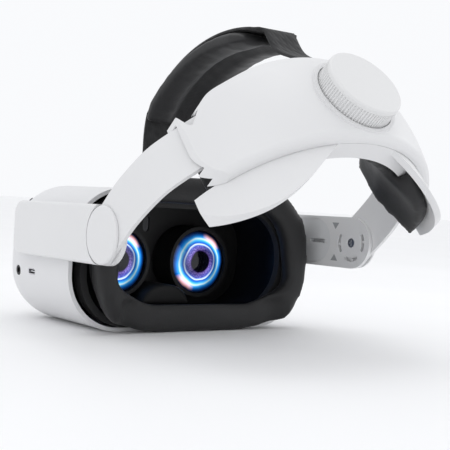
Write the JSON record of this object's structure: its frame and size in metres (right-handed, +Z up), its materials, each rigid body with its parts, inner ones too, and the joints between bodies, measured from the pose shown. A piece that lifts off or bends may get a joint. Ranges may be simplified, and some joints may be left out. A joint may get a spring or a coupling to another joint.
{
  "type": "vr headset",
  "caption": "Virtual reality headset with a cushioned face mask, hinged side arms and a rigid padded rear strap tightened by a knob, with a padded strap over the head.",
  "frame": {"origin": "on the surface the headset stands on, under the middle of its overall length and width", "axes": "+Y forward, the way the wearer looks; +Z up; +X the wearer's right"},
  "size_m": [0.1892, 0.2564, 0.1796],
  "materials": {
    "white_shell": "fine satin moulded plastic",
    "white_strap": "smooth satin plastic",
    "white_knob": "satin plastic",
    "grey_plastic": "light grey satin plastic",
    "black_plastic": "fine textured black plastic",
    "black_gloss": "glossy black",
    "lens_glass": "polished optical plastic",
    "cushion_foam": "black leatherette over foam",
    "pad_foam": "black leatherette over foam",
    "webbing": "woven black webbing",
    "soft_rubber": "matte",
    "steel": "satin",
    "alloy": "matte",
    "board": "solder masked laminate",
    "cell": "wrapped cell",
    "led": "clear light pipe"
  },
  "bodies": {
    "headset": {"front_shell": "white_shell", "rear_bezel": "black_plastic", "light_shield": "black_gloss", "mid_frame": "alloy", "display_panel": "black_gloss", "main_board": "board", "battery": "cell", "heat_sink": "alloy", "fan_housing": "black_plastic", "tracking_cameras_upper": "black_gloss", "tracking_cameras_lower": "black_gloss", "audio_jack": "black_plastic", "usb_c_port": "steel", "power_led": "led", "rocker_cradle": "black_plastic", "proximity_sensor": "black_gloss", "ipd_rail_upper": "steel", "ipd_rail_lower": "steel", "face_bracket": "black_plastic", "face_cushion": "cushion_foam", "nose_rest": "soft_rubber", "top_strap_loop": "white_shell", "arm_hinge_pin_right": "steel", "arm_hinge_pin_left": "steel", "top_webbing_front": "webbing"},
    "lens_unit_left": {"lens_cup_left": "black_plastic", "lens_left": "lens_glass"},
    "lens_unit_right": {"lens_cup_right": "black_plastic", "lens_right": "lens_glass"},
    "fan": {"fan_rotor": "black_plastic"},
    "power_key": {"power_button": "white_shell"},
    "volume_key": {"volume_rocker": "white_shell"},
    "temple_left": {"side_arm_left": "grey_plastic", "temple_sleeve_left": "white_strap", "speaker_left": "black_plastic", "pivot_cap_left": "white_strap", "pivot_screw_left": "steel", "top_pad": "pad_foam"},
    "temple_right": {"side_arm_right": "grey_plastic", "temple_sleeve_right": "white_strap", "speaker_right": "black_plastic", "pivot_cap_right": "white_strap", "pivot_screw_right": "steel"},
    "strap_left": {"strap_arm_left": "white_strap"},
    "strap_right": {"strap_arm_right": "white_strap"},
    "halo": {"outer_housing": "white_strap", "inner_shell": "white_strap", "housing_screws": "steel", "rear_pad_left": "pad_foam", "rear_pad_right": "pad_foam", "shaft_bush": "black_plastic", "ratchet_ring": "black_plastic", "top_webbing_rear": "webbing"},
    "knob": {"knob_ring": "white_knob", "knob_cap": "white_knob", "knob_shaft": "black_plastic", "knob_spring": "steel"},
    "rack_strip_left": {"rack_left": "grey_plastic"},
    "rack_strip_right": {"rack_right": "grey_plastic"}
  },
  "joints": [
    {"name": "lens_left_slide", "type": "slide", "parent": "headset", "child": "lens_unit_left", "axis": [1, 0, 0], "range_m": [-0.0025, 0.0025]},
    {"name": "lens_right_slide", "type": "slide", "parent": "headset", "child": "lens_unit_right", "axis": [1, 0, 0], "range_m": [-0.0025, 0.0025]},
    {"name": "fan_spin", "type": "hinge", "parent": "headset", "child": "fan", "pos_m": [0.034, 0.1152, 0.0415], "axis": [0, 1, 0], "continuous": true},
    {"name": "power_press", "type": "slide", "parent": "headset", "child": "power_key", "axis": [-1, 0, 0], "range_m": [0, 0.0008], "stiffness_N_per_m": 400, "springref_m": -0.002},
    {"name": "volume_rock", "type": "hinge", "parent": "headset", "child": "volume_key", "pos_m": [0.026, 0.0712, 0.005], "axis": [0, 1, 0], "range_deg": [-2.5, 2.5], "stiffness_Nm_per_rad": 0.2},
    {"name": "temple_left_tilt", "type": "hinge", "parent": "headset", "child": "temple_left", "pos_m": [0, 0.0699, 0.05854], "axis": [1, 0, 0], "range_deg": [-10, 10], "deforming": ["top_webbing_front"]},
    {"name": "temple_right_tilt", "type": "hinge", "parent": "headset", "child": "temple_right", "pos_m": [0, 0.0699, 0.05854], "axis": [1, 0, 0], "range_deg": [-10, 10]},
    {"name": "strap_left_swing", "type": "hinge", "parent": "temple_left", "child": "strap_left", "pos_m": [0, -0.0181, 0.059], "axis": [1, 0, 0], "range_deg": [-20, 25], "deforming": ["top_pad"]},
    {"name": "strap_right_swing", "type": "hinge", "parent": "temple_right", "child": "strap_right", "pos_m": [0, -0.0181, 0.059], "axis": [1, 0, 0], "range_deg": [-20, 25]},
    {"name": "halo_slide", "type": "slide", "parent": "strap_left", "child": "halo", "axis": [0, -0.7455, 0.6665], "range_m": [-0.002, 0.013], "deforming": ["top_webbing_rear"]},
    {"name": "knob_turn", "type": "hinge", "parent": "halo", "child": "knob", "pos_m": [0, -0.1001, 0.13232], "axis": [0, -0.7455, 0.6665], "range_deg": [-20.1, 125.14]},
    {"name": "rack_left_travel", "type": "hinge", "parent": "halo", "child": "rack_strip_left", "pos_m": [0, -0.03897, 0.07766], "axis": [0, 0.6665, 0.7455], "range_deg": [-9.74, 1.75]},
    {"name": "rack_right_travel", "type": "hinge", "parent": "halo", "child": "rack_strip_right", "pos_m": [0, -0.03897, 0.07766], "axis": [0, 0.6665, 0.7455], "range_deg": [-1.75, 9.74]}
  ],
  "couplings": [
    {"joint": "lens_left_slide", "follows": "lens_right_slide", "ratio": -1},
    {"joint": "temple_right_tilt", "follows": "temple_left_tilt", "ratio": 1},
    {"joint": "strap_right_swing", "follows": "strap_left_swing", "ratio": 1},
    {"joint": "knob_turn", "follows": "halo_slide", "rad_per_m": 166.67},
    {"joint": "rack_left_travel", "follows": "halo_slide", "rad_per_m": -12.674},
    {"joint": "rack_right_travel", "follows": "halo_slide", "rad_per_m": 12.674}
  ]
}
